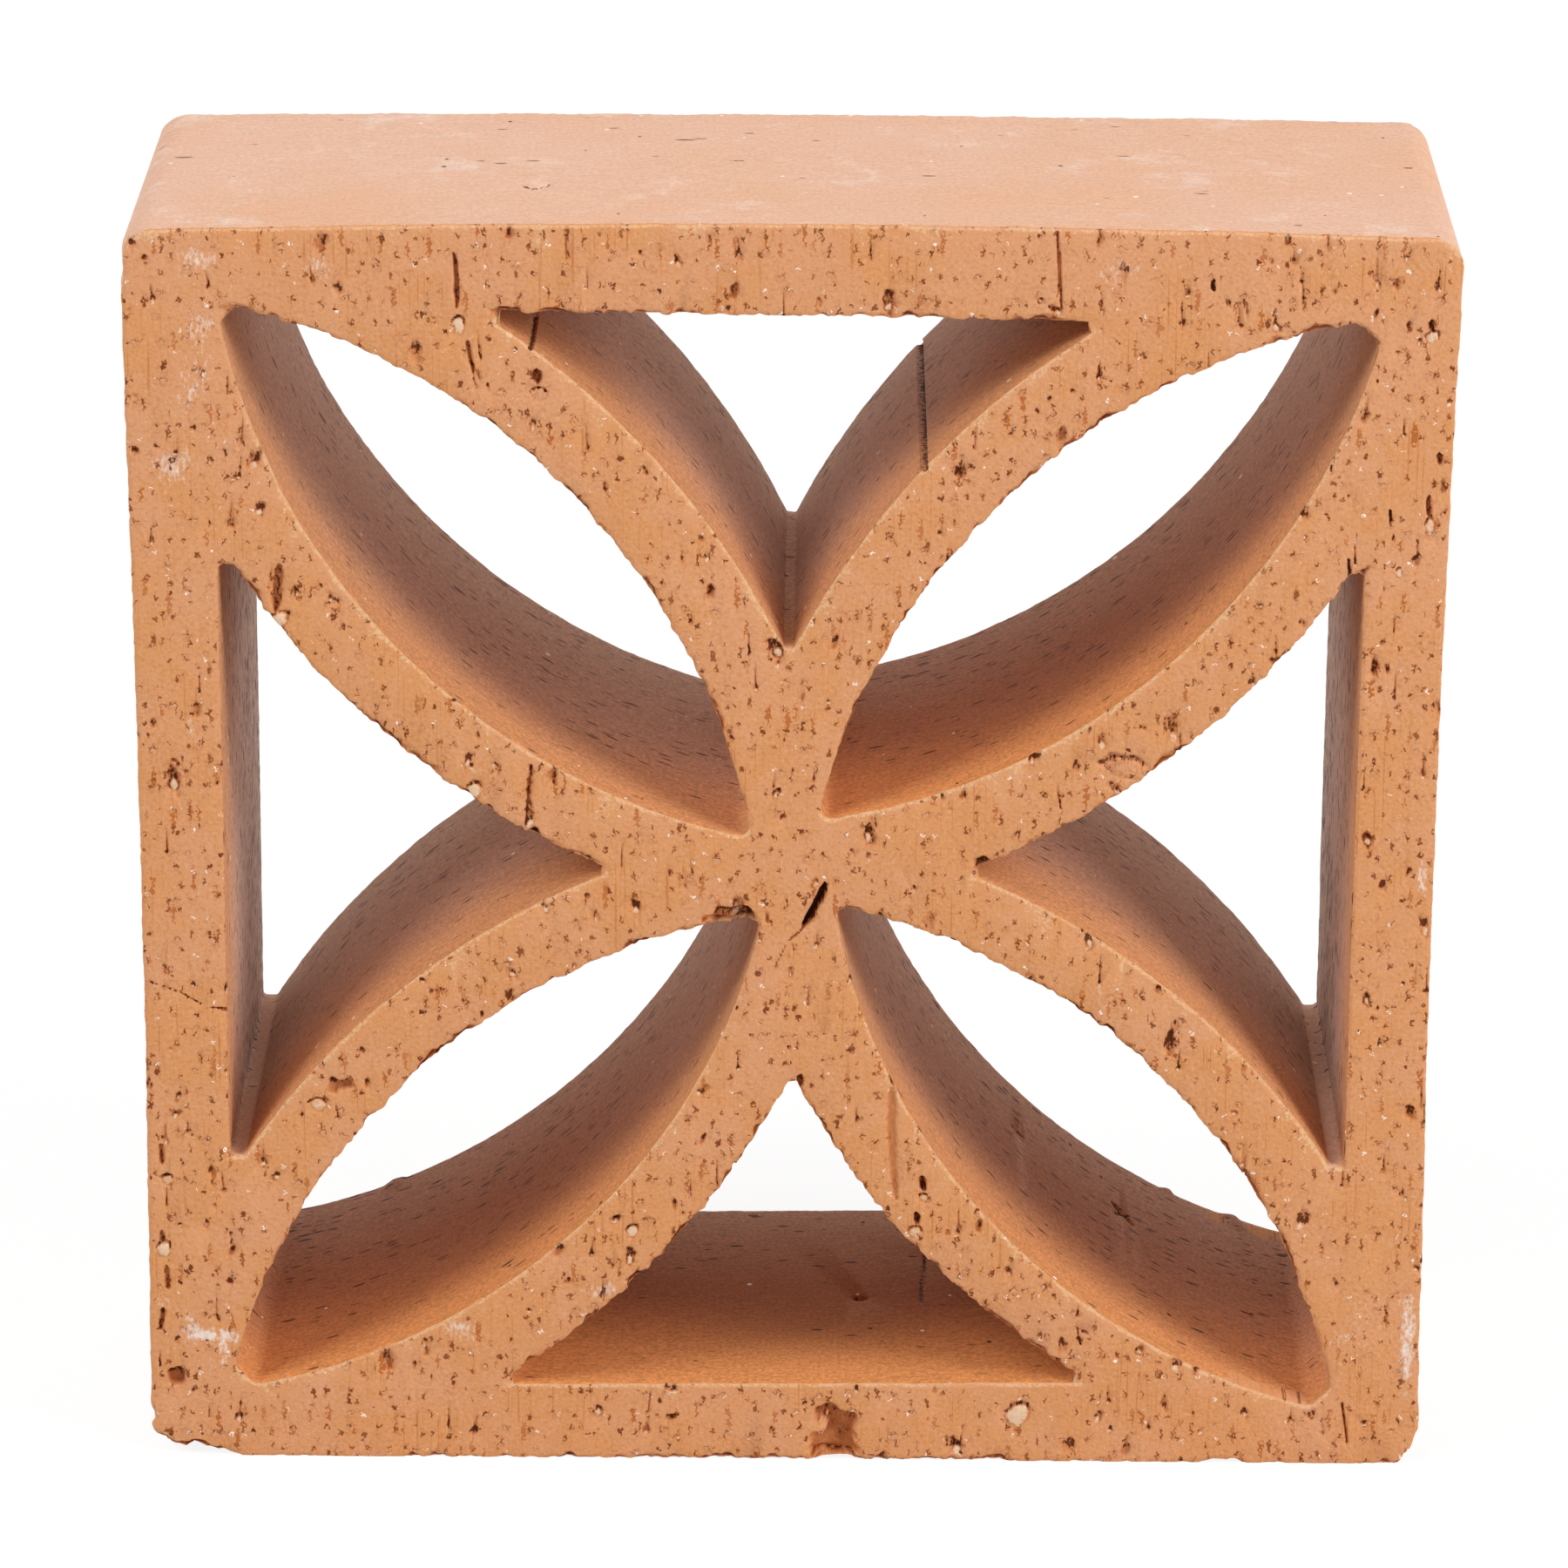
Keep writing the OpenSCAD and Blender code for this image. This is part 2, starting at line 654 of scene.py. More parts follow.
    def tear(self, clay: FaceClay) -> Array:
        """Tears the lower edges, where the wire came out, and wears and chips the others.

        Args:
            clay: The clay to mark.

        Returns:
            How far each point is pushed away from its edge.
        """
        edge, inset = clay.edge, clay.inset
        under = smooth(0.05, 0.6, clay.away_z)
        lit_edge = smooth(-0.05, -0.5, clay.away_z)
        lumps = clay_noise(clay.points, (5.5, 5.5, 6.0), self.seed + 3)
        crumbs = clay_noise(clay.points, (1.8, 1.8, 2.2), self.seed + 5)
        torn_w = np.maximum(0.0, 0.05 + 1.0 * lumps + 0.7 * crumbs + 0.4 * clay.crumb) * under
        tear = smooth(1.0, 0.0, edge / np.maximum(torn_w, 0.05)) * (torn_w > 0.08)
        clay.deep += np.where(clay.flat, tear * np.minimum(torn_w, 1.4) * 0.9, 0.0)
        clay.raise_to("torn", tear * 0.7)
        clay.deep += np.where(clay.flat, self.edge_wear * smooth(0.7, 0.0, edge), 0.0)

        ragged = 0.20 * lumps + 0.26 * crumbs + 0.26 * clay.crumb
        ragged *= np.maximum(under, np.where(clay.outer, 0.30, 0.18))
        push = ragged * (smooth(self.working_depth, 0.5, inset) * smooth(1.6, 0.0, edge))
        push += self.edge_round * smooth(0.5, 0.0, edge) * smooth(0.6, 0.0, inset)
        for chip in self.chips:
            r = np.hypot(clay.x - chip.x, clay.z - chip.z) / chip.reach + 0.25 * clay.rough
            fade = smooth(self.working_depth, 1.0, inset)
            push += chip.back * smooth(1.0, 0.3, r) * fade * smooth(4.0, 0.0, edge)
        ripple = clay_noise(clay.points, (7.0, 7.0, 30.0), self.seed + 7)
        clay.deep += np.where(clay.flat, self.ripple * ripple, 0.0)
        # Painted highlight: a pale line along the edges that face up, with the clay below them.
        clay.raise_to("lit_rim", smooth(1.0, 0.3, edge + 0.4 * clay.rough) * lit_edge * clay.flat)
        return push


def linear(code: str) -> Colour:
    """Turns an sRGB hex value into Blender's linear colour.

    Args:
        code: Six hex digits.

    Returns:
        Linear red, green and blue, with an alpha of 1.
    """
    parts = [int(code[i : i + 2], 16) / 255 for i in (0, 2, 4)]
    red, green, blue = (c / 12.92 if c <= 0.04045 else ((c + 0.055) / 1.055) ** 2.4 for c in parts)
    return red, green, blue, 1.0


def add(
    tree: Tree, kind: str, inputs: dict[str | int, object] | None = None, **settings: object
) -> bpy.types.Node:
    """Adds a node with its settings and links.

    Args:
        tree: Node tree to add to.
        kind: Blender's name for the node type.
        inputs: Value, or output socket to link, for each input by name or number.
        **settings: Properties of the node.

    Returns:
        The new node.
    """
    node = tree.nodes.new(kind)
    for key, value in settings.items():
        setattr(node, key, value)
    for key, value in (inputs or {}).items():
        if isinstance(value, Socket):
            tree.links.new(value, node.inputs[key])
        else:
            node.inputs[key].default_value = value
    return node


def maths(tree: Tree, operation: str, *values: Value) -> Socket:
    """Adds a node that works out one value from others, and returns the socket of the result."""
    return add(tree, "ShaderNodeMath", dict(enumerate(values)), operation=operation).outputs[0]


def ranged(tree: Tree, value: Value, source: Range, target: Range = (0.0, 1.0)) -> Socket:
    """Adds a node that brings a value from the source range into the target range."""
    return add(tree, "ShaderNodeMapRange", dict(enumerate((value, *source, *target)))).outputs[0]


def mixed(tree: Tree, share: Value, colour: Socket | Colour, other: Socket | Colour) -> Socket:
    """Adds a node that mixes two colours, share being the part of the other one."""
    return add(tree, "ShaderNodeMix", {0: share, 6: colour, 7: other}, data_type="RGBA").outputs[2]


class Fleck(Enum):
    """Kinds of small mark on a cut face."""

    # Painted shade in the upper part of a pit, over its pale grain.
    ARCH = "dark arch over a plucked grain"
    # Painted shade in a small hole.
    HOLE = "dark hole"
    # Painted shade in a narrow upright slit.
    SLIT = "upright slit"
    FURROW = "brown furrow that a dragged grain left"
    SPECK = "pale speck"


@dataclass(frozen=True)
class FleckLayer:
    """One scatter of small marks, with sizes as half widths."""

    kind: Fleck
    spacing: float
    smallest: float
    largest: float
    share: float
    tall: float = 1.0
    halo: float = 0.0


@dataclass(frozen=True)
class FiredClay:
    """Unglazed fired brick clay: a dry, matt body whose fine grain catches the light."""

    name: str
    bump: float
    roughness: float = 0.92
    ior: float = 1.5
    shine: float = 0.25
    grain: float = 0.6
    relief: float = 0.3

    def build(self) -> bpy.types.Material:
        """Makes the material.

        Returns:
            The material, with patterns on Object coordinates and the mesh's own marks.
        """
        material = bpy.data.materials.new(self.name)
        material.use_nodes = True
        tree = material.node_tree
        tree.nodes.clear()
        coords = add(tree, "ShaderNodeTexCoord").outputs["Object"]
        grain = add(
            tree, "ShaderNodeTexNoise",
            {"Vector": coords, "Scale": 1 / (self.grain * MM), "Detail": 2.0, "Roughness": 0.65},
        ).outputs[0]
        bump = add(
            tree, "ShaderNodeBump", {"Height": grain, "Strength": self.bump, "Distance": self.relief * MM}
        )
        shader = add(
            tree, "ShaderNodeBsdfPrincipled",
            {
                "Base Color": self.pattern(tree, coords, grain),
                "Roughness": self.roughness,
                "IOR": self.ior,
                "Specular IOR Level": self.shine,
                "Normal": bump.outputs[0],
            },
        )
        add(tree, "ShaderNodeOutputMaterial", {"Surface": shader.outputs[0]})
        return material

    def pattern(self, tree: Tree, coords: Socket, grain: Socket) -> Socket:
        """Draws the colours of one kind of face and returns their socket."""
        raise NotImplementedError


@dataclass(frozen=True)
class WireCutClay(FiredClay):
    """Terracotta cut by a wire while wet: orange, full of plucked pits and pale grains.

    The fields after the colours are real sizes of its patterns.
    """

    name: str = "wire_cut_terracotta"
    bump: float = 0.55
    body: str = "DB9863"
    pink: str = "DD9F76"
    deep: str = "C27B45"
    dust: str = "E5B48E"
    # Painted shade in pits, grooves, breaks and stone gaps.
    pit_shade: str = "632D11"
    # Painted shade in small holes and slits.
    tick_shade: str = "74391A"
    torn: str = "B7662F"
    grit: str = "EACBAB"
    seat: str = "E3B08A"
    chalk: str = "F4E4D8"
    speck: str = "FFF4E8"
    # Painted highlight along the edges that face up.
    lit_rim: str = "E8BF94"
    mottle: float = 15.0
    drag_wide: float = 0.4
    drag_tall: float = 25.0
    wobble: float = 0.6
    wobble_reach: float = 1.4
    crumb_wide: float = 0.5
    crumb_tall: float = 1.0
    back_offset: float = 370.0
    flecks: tuple[FleckLayer, ...] = (
        FleckLayer(Fleck.FURROW, 2.4, 0.14, 0.36, 0.55, 6.0),
        FleckLayer(Fleck.ARCH, 3.4, 0.24, 0.62, 0.45, halo=0.25),
        FleckLayer(Fleck.HOLE, 2.0, 0.10, 0.30, 0.58, 1.6, halo=0.45),
        FleckLayer(Fleck.SLIT, 2.6, 0.11, 0.27, 0.65, 3.4, halo=0.45),
        FleckLayer(Fleck.SPECK, 3.3, 0.10, 0.24, 0.38),
    )

    def pattern(self, tree: Tree, coords: Socket, grain: Socket) -> Socket:
        """Draws the mottled body, its flecks and the marks that the mesh carries.

        Args:
            tree: Node tree to add to.
            coords: Object coordinates.
            grain: Socket of the body's grain.

        Returns:
            The socket of its colour.
        """
        split = add(tree, "ShaderNodeSeparateXYZ", {0: coords}).outputs
        # The back face takes its pattern from another place than the front one.
        back = maths(tree, "GREATER_THAN", split[1], 0.0)
        moved = maths(tree, "MULTIPLY_ADD", back, self.back_offset * MM, split[0])
        plane = add(tree, "ShaderNodeCombineXYZ", {0: moved, 1: split[2]}).outputs[0]

        mottle = add(
            tree, "ShaderNodeTexNoise",
            {"Vector": plane, "Scale": 1 / (self.mottle * MM), "Detail": 4.0, "Roughness": 0.7},
            noise_dimensions="2D",
        ).outputs[0]
        colour = self.mottled(tree, split[2], mottle, grain)
        colour = self.dragged(tree, plane, mottle, colour)
        # Plucked grit, whose shapes a fine wobble breaks up.
        wobble = add(
            tree, "ShaderNodeTexNoise",
            {"Vector": plane, "Scale": 1 / (self.wobble * MM), "Detail": 1.0},
            noise_dimensions="2D",
        ).outputs[1]
        nudge = add(
            tree, "ShaderNodeVectorMath", {0: wobble, 1: (0.5, 0.5, 0.5)}, operation="SUBTRACT"
        ).outputs[0]
        far = self.wobble_reach * MM
        loose = add(
            tree, "ShaderNodeVectorMath", {0: nudge, 1: (far, far, 0.0), 2: plane},
            operation="MULTIPLY_ADD",
        ).outputs[0]
        for layer in self.flecks:
            colour = self.scatter(tree, loose, layer, colour)
        return self.marked(tree, plane, grain, colour)

    def mottled(self, tree: Tree, rise: Socket, mottle: Socket, grain: Socket) -> Socket:
        """Draws the body: patches between orange and pink, with darker and dusty grains.

        Args:
            tree: Node tree to add to.
            rise: Height above the floor.
            mottle: Socket of the patches.
            grain: Socket of the body's grain.

        Returns:
            The socket of its colour.
        """
        # A little pinker towards the top of the block.
        height = ranged(tree, rise, (0.10, 0.19), (0.0, 0.10))
        pinker = maths(tree, "ADD", mottle, height)
        pinker = ranged(tree, pinker, (0.42, 0.66), (0.0, 0.68))
        colour = mixed(tree, pinker, linear(self.body), linear(self.pink))
        for tint, low, high, most in ((self.deep, 0.53, 0.72, 0.5), (self.dust, 0.43, 0.28, 0.4)):
            much = ranged(tree, grain, (low, high), (0.0, most))
            colour = mixed(tree, much, colour, linear(tint))
        return colour

    def dragged(self, tree: Tree, plane: Socket, mottle: Socket, colour: Socket) -> Socket:
        """Draws the drag lines of the wire, narrow and tall, in some patches only.

        Args:
            tree: Node tree to add to.
            plane: Coordinates in the plane of the face.
            mottle: Socket of the patches.
            colour: Socket of the colour below them.

        Returns:
            The socket of the colour with the lines.
        """
        lines = (1 / (self.drag_wide * MM), 1 / (self.drag_tall * MM), 1.0)
        tall = add(tree, "ShaderNodeMapping", {0: plane, 3: lines}).outputs[0]
        drag = add(
            tree, "ShaderNodeTexNoise", {"Vector": tall, "Scale": 1.0, "Detail": 1.0},
            noise_dimensions="2D",
        ).outputs[0]
        line = ranged(tree, drag, (0.64, 0.76))
        patch = ranged(tree, mottle, (0.52, 0.38), (0.0, 0.5))
        line = maths(tree, "MULTIPLY", line, patch)
        return mixed(tree, line, colour, linear(self.torn))

    def marked(self, tree: Tree, plane: Socket, grain: Socket, colour: Socket) -> Socket:
        """Draws the marks that the mesh carries, broken up into upright crumbs.

        Args:
            tree: Node tree to add to.
            plane: Coordinates in the plane of the face.
            grain: Socket of the body's grain.
            colour: Socket of the colour below them.

        Returns:
            The socket of the colour with the marks.
        """
        crumbs = (1 / (self.crumb_wide * MM), 1 / (self.crumb_tall * MM), 1.0)
        upright = add(tree, "ShaderNodeMapping", {0: plane, 3: crumbs}).outputs[0]
        crumb = add(
            tree, "ShaderNodeTexNoise",
            {"Vector": upright, "Scale": 1.0, "Detail": 2.0, "Roughness": 0.6},
            noise_dimensions="2D",
        ).outputs[0]
        # For each mark: its tint, what breaks it up and how much, the strengths at which it starts
        # and is full, and how much of the tint it then shows.
        for name, tint, breaker, ragged, low, high, most in (
            ("torn", self.torn, crumb, 1.6, 0.2, 1.0, 0.65),
            # Painted highlight along the edges that face up.
            ("lit_rim", self.lit_rim, grain, 3.2, 0.6, 1.1, 0.7),
            ("chalk", self.chalk, crumb, 2.2, 0.45, 1.4, 0.85),
            # Painted shade in pits, grooves, breaks and stone gaps.
            ("pit_shade", self.pit_shade, crumb, 2.4, 0.38, 0.58, 0.95),
            ("grit", self.grit, grain, 1.3, 0.3, 0.8, 0.85),
        ):
            mark = add(tree, "ShaderNodeAttribute", attribute_name=name).outputs["Fac"]
            broken = maths(tree, "ADD", breaker, -0.5)
            uneven = maths(tree, "MULTIPLY_ADD", broken, ragged, mark)
            much = ranged(tree, uneven, (low, high), (0.0, most))
            there = ranged(tree, mark, (0.02, 0.15))
            much = maths(tree, "MULTIPLY", much, there)
            colour = mixed(tree, much, colour, linear(tint))
        return colour

    def scatter(self, tree: Tree, place: Socket, layer: FleckLayer, colour: Socket) -> Socket:
        """Draws one scatter of small marks over a colour.

        Args:
            tree: Node tree to add to.
            place: Coordinates in the plane of the face.
            layer: The marks to draw.
            colour: Socket of the colour below them.

        Returns:
            The socket of the colour with the marks.
        """
        flat = add(
            tree, "ShaderNodeVectorMath", {0: place, 1: (1.0, 1.0 / layer.tall, 1.0)},
            operation="MULTIPLY",
        ).outputs[0]
        cell = add(
            tree, "ShaderNodeTexVoronoi", {"Vector": flat, "Scale": 1 / (layer.spacing * MM)},
            voronoi_dimensions="2D",
        ).outputs
        chance = add(tree, "ShaderNodeSeparateColor", {0: cell["Color"]}).outputs
        size = ranged(tree, chance[0], (0.0, 1.0), (layer.smallest * MM, layer.largest * MM))
        there = maths(tree, "LESS_THAN", chance[1], layer.share)
        local = add(
            tree, "ShaderNodeVectorMath", {0: flat, 1: cell["Position"]}, operation="SUBTRACT"
        ).outputs[0]
        reach = add(tree, "ShaderNodeVectorMath", {0: local}, operation="LENGTH").outputs["Value"]
        ratio = maths(tree, "DIVIDE", reach, size)
        depth = ranged(tree, chance[2], (0.0, 1.0), (0.65, 1.0))
        depth = maths(tree, "MULTIPLY", depth, there)
        if layer.halo:
            halo = ranged(tree, ratio, (1.7, 1.0), (0.0, layer.halo))
            halo = maths(tree, "MULTIPLY", halo, there)
            colour = mixed(tree, halo, colour, linear(self.torn))
        # Painted shade over the upper part of the pit; the seat below is the pale grain.
        if layer.kind is Fleck.ARCH:
            seat = ranged(tree, ratio, (0.75, 0.5), (0.0, 0.5))
            seat = maths(tree, "MULTIPLY", seat, depth)
            colour = mixed(tree, seat, colour, linear(self.seat))
            arch_shade = ranged(tree, ratio, (0.45, 0.75))
            rise = add(tree, "ShaderNodeSeparateXYZ", {0: local}).outputs[1]
            rise = maths(tree, "DIVIDE", rise, size)
            over = ranged(tree, rise, (-0.15, 0.45))
            arch_shade = maths(tree, "MULTIPLY", arch_shade, over)
            depth = maths(tree, "MULTIPLY", depth, arch_shade)
        hole = ranged(tree, ratio, (1.0, 0.8))
        much = maths(tree, "MULTIPLY", hole, depth)
        # Holes, slits and arches take painted shade; furrows and specks take their own colours.
        tints = {Fleck.SPECK: self.speck, Fleck.FURROW: self.torn, Fleck.ARCH: self.pit_shade}
        tint = tints.get(layer.kind, self.tick_shade)
        return mixed(tree, much, colour, linear(tint))


@dataclass(frozen=True)
class DieSkin(FiredClay):
    """Terracotta smoothed by the die: a pale pink skin that tears in short dashes across the flow.

    The fields after the colours are real sizes of its patterns, and the depths, from the middle of
    the block to the back, between which the walls of the openings change colour.
    """

    name: str = "die_smoothed_terracotta"
    bump: float = 0.22
    skin: str = "E7B99E"
    peach: str = "E6AE88"
    scuffed: str = "F3DACA"
    # Painted light on the walls near the front cut, plain and with painted bounce light.
    lit_lip: str = "C68C62"
    lit_lip_bounce: str = "D88D50"
    wall: str = "DAB29B"
    # Painted bounce light on the walls: orange on upward walls, pale on steep ones.
    wall_warm_bounce: str = "AA6234"
    wall_pale_bounce: str = "E8CBBB"
    # Painted shade in the tears and scars of the skin.
    tear_shade: str = "3E2216"
    # Painted shade in small pores.
    pore_shade: str = "5E2C11"
    speck: str = "F8EBE0"
    cloud: float = 35.0
    scuff: float = 11.0
    streak_long: float = 4.0
    streak_apart: float = 0.5
    tear_long: float = 2.6
    tear_apart: float = 0.7
    spot_apart: float = 4.5
    # Depths over which the painted light near the front cut gives way to the wall colour.
    lit_lip_depths: tuple[float, float] = (-32.0, 2.0)
    # Depths over which the painted orange bounce light on the walls fades towards the back.
    bounce_fade_depths: tuple[float, float] = (4.0, 30.0)
    tear_depths: tuple[float, float] = (-30.0, 20.0)

    def pattern(self, tree: Tree, coords: Socket, grain: Socket) -> Socket:
        """Draws the outside skin, the walls of the openings and the tears in them.

        Args:
            tree: Node tree to add to.
            coords: Object coordinates.
            grain: Socket of the body's grain.

        Returns:
            The socket of its colour.
        """
        inward = add(tree, "ShaderNodeSeparateXYZ", {0: coords}).outputs[1]
        inner = add(tree, "ShaderNodeAttribute", attribute_name="inner").outputs["Fac"]
        bounce_warmth = add(tree, "ShaderNodeAttribute", attribute_name="bounce_warmth").outputs["Fac"]
        pale_bounce = maths(tree, "MULTIPLY", bounce_warmth, -1.0)
        scuff = add(
            tree, "ShaderNodeTexNoise",
            {"Vector": coords, "Scale": 1 / (self.scuff * MM), "Detail": 4.0, "Roughness": 0.72},
        ).outputs[0]
        skin = self.outside(tree, coords, scuff)
        wall = self.walls(tree, inward, bounce_warmth, pale_bounce)
        colour = mixed(tree, inner, skin, wall)
        colour = self.streaked(tree, coords, grain, inner, colour)
        # There are more tears towards the back, on steep walls and in bunches, and few on the floor with
        # the strongest painted bounce light and outside.
        start, end = (depth * MM for depth in self.tear_depths)
        share = ranged(tree, inward, (start, end), (0.03, 0.34))
        for cause, source, target in (
            (pale_bounce, (0.0, 0.75), (1.0, 1.9)),
            (scuff, (0.36, 0.62), (0.2, 1.5)),
            (bounce_warmth, (0.93, 1.0), (1.0, 0.3)),
            (inner, (0.0, 1.0), (0.015, 1.0)),
        ):
            share = maths(tree, "MULTIPLY", share, ranged(tree, cause, source, target))
        colour = self.torn(tree, coords, grain, pale_bounce, share, colour)
        return self.spotted(tree, coords, colour)

    def walls(self, tree: Tree, inward: Socket, bounce_warmth: Socket, pale_bounce: Socket) -> Socket:
        """Draws the walls: painted orange light near the front cut, then painted bounce light, more
        orange on upward walls and pale on steep ones.

        Args:
            tree: Node tree to add to.
            inward: Depth from the middle of the block to the back.
            bounce_warmth: Strength of the painted bounce light on each wall, orange above 0.
            pale_bounce: The same turned round: the strength of the painted pale light on steep walls.

        Returns:
            The socket of their colour.
        """
        start, end = (depth * MM for depth in self.lit_lip_depths)
        past_lit_lip = add(
            tree, "ShaderNodeMapRange", {0: inward, 1: start, 2: end}, interpolation_type="SMOOTHSTEP"
        ).outputs[0]
        start, end = (depth * MM for depth in self.bounce_fade_depths)
        bounce_fade = ranged(tree, inward, (start, end), (1.0, 0.64))
        warm_bounce_share = maths(tree, "MULTIPLY", bounce_warmth, bounce_fade)
        wall = linear(self.wall)
        for much, tint in ((warm_bounce_share, self.wall_warm_bounce), (pale_bounce, self.wall_pale_bounce)):
            wall = mixed(tree, much, wall, linear(tint))
        lit_lip = mixed(tree, bounce_warmth, linear(self.lit_lip), linear(self.lit_lip_bounce))
        return mixed(tree, past_lit_lip, lit_lip, wall)

    def outside(self, tree: Tree, coords: Socket, scuff: Socket) -> Socket:
        """Draws the outside skin: wide peach clouds, and pale scuffs where it was handled.

        Args:
            tree: Node tree to add to.
            coords: Object coordinates.
            scuff: Socket of the scuffs.

        Returns:
            The socket of its colour.
        """
        cloud = add(
            tree, "ShaderNodeTexNoise",
            {"Vector": coords, "Scale": 1 / (self.cloud * MM), "Detail": 2.0},
        ).outputs[0]
        skin = linear(self.skin)
        for noise, low, high, most, tint in (
            (cloud, 0.42, 0.70, 0.6, self.peach), (scuff, 0.56, 0.78, 0.75, self.scuffed),
        ):
            much = ranged(tree, noise, (low, high), (0.0, most))
            skin = mixed(tree, much, skin, linear(tint))
        return skin

    def streaked(
        self, tree: Tree, coords: Socket, grain: Socket, inner: Socket, colour: Socket
    ) -> Socket:
        """Draws flow lines: streaks across the extrusion, stronger on the walls.

        Args:
            tree: Node tree to add to.
            coords: Object coordinates.
            grain: Socket of the body's grain.
            inner: 1 on the walls of the openings.
            colour: Socket of the colour below them.

        Returns:
            The socket of the colour with the streaks.
        """
        long, apart = 1 / (self.streak_long * MM), 1 / (self.streak_apart * MM)
        lines = add(tree, "ShaderNodeMapping", {0: coords, 3: (long, apart, long)}).outputs[0]
        streak = add(
            tree, "ShaderNodeTexNoise", {"Vector": lines, "Scale": 1.0, "Detail": 1.0}
        ).outputs[0]
        fine = maths(tree, "MULTIPLY_ADD", streak, 0.3, grain)
        fine = maths(tree, "SUBTRACT", 0.65, fine)
        sway = ranged(tree, inner, (0.0, 1.0), (0.5, 1.3))
        value = maths(tree, "MULTIPLY_ADD", fine, sway, 1.0)
        return add(tree, "ShaderNodeHueSaturation", {"Color": colour, "Value": value}).outputs[0]

    def torn(
        self, tree: Tree, coords: Socket, grain: Socket, pale_bounce: Socket, share: Socket, colour: Socket
    ) -> Socket:
        """Draws tears of the skin, dashes of about 0.4 by 2 mm across the flow, and the scars, as painted
        shade.

        Args:
            tree: Node tree to add to.
            coords: Object coordinates.
            grain: Socket of the body's grain.
            pale_bounce: Strength of the painted pale light on a wall.
            share: How many of the dashes show.
            colour: Socket of the colour below them.

        Returns:
            The socket of the colour with the tears.
        """
        long, apart = 1 / (self.tear_long * MM), 1 / (self.tear_apart * MM)
        flow = add(tree, "ShaderNodeMapping", {0: coords, 3: (long, apart, long)}).outputs[0]
        cell = add(tree, "ShaderNodeTexVoronoi", {"Vector": flow, "Scale": 1.0}).outputs
        chance = add(tree, "ShaderNodeSeparateColor", {0: cell["Color"]}).outputs
        # Steep walls, which carry the painted pale light, tore in longer dashes.
        longest = ranged(tree, pale_bounce, (0.0, 0.75), (0.58, 0.76))
        size = ranged(tree, chance[0], (0.0, 1.0), (0.14, longest))
        there = maths(tree, "LESS_THAN", chance[1], share)
        bent = maths(tree, "SUBTRACT", grain, 0.5)
        away = maths(tree, "MULTIPLY_ADD", bent, 0.3, cell["Distance"])
        ratio = maths(tree, "DIVIDE", away, size)
        tear_shade = ranged(tree, ratio, (1.0, 0.65))
        tear_shade = maths(tree, "MULTIPLY", tear_shade, there)
        depth = ranged(tree, chance[2], (0.0, 1.0), (0.65, 1.0))
        tear_shade = maths(tree, "MULTIPLY", tear_shade, depth)
        # Painted shade in the cracks and gouges that the mesh carries.
        pit_shade = add(tree, "ShaderNodeAttribute", attribute_name="pit_shade").outputs["Fac"]
        uneven = maths(tree, "MULTIPLY_ADD", bent, 3.0, pit_shade)
        scar = ranged(tree, uneven, (0.4, 0.85), (0.0, 0.9))
        sure = ranged(tree, pit_shade, (0.1, 0.4))
        scar = maths(tree, "MULTIPLY", scar, sure)
        tear_shade = maths(tree, "MAXIMUM", tear_shade, scar)
        return mixed(tree, tear_shade, colour, linear(self.tear_shade))

    def spotted(self, tree: Tree, coords: Socket, colour: Socket) -> Socket:
        """Draws pores as painted shade, and pale grains, of 0.3 to 0.9 mm.

        Args:
            tree: Node tree to add to.
            coords: Object coordinates.
            colour: Socket of the colour below them.

        Returns:
            The socket of the colour with the spots.
        """
        often = 1 / (self.spot_apart * MM)
        cell = add(tree, "ShaderNodeTexVoronoi", {"Vector": coords, "Scale": often}).outputs
        chance = add(tree, "ShaderNodeSeparateColor", {0: cell["Color"]}).outputs
        size = ranged(tree, chance[0], (0.0, 1.0), (0.03, 0.10))
        spot = maths(tree, "LESS_THAN", cell["Distance"], size)
        for tint, chosen, limit in ((self.pore_shade, "LESS_THAN", 0.15), (self.speck, "GREATER_THAN", 0.76)):
            there = maths(tree, chosen, chance[1], limit)
            much = maths(tree, "MULTIPLY", spot, there)
            colour = mixed(tree, much, colour, linear(tint))
        return colour


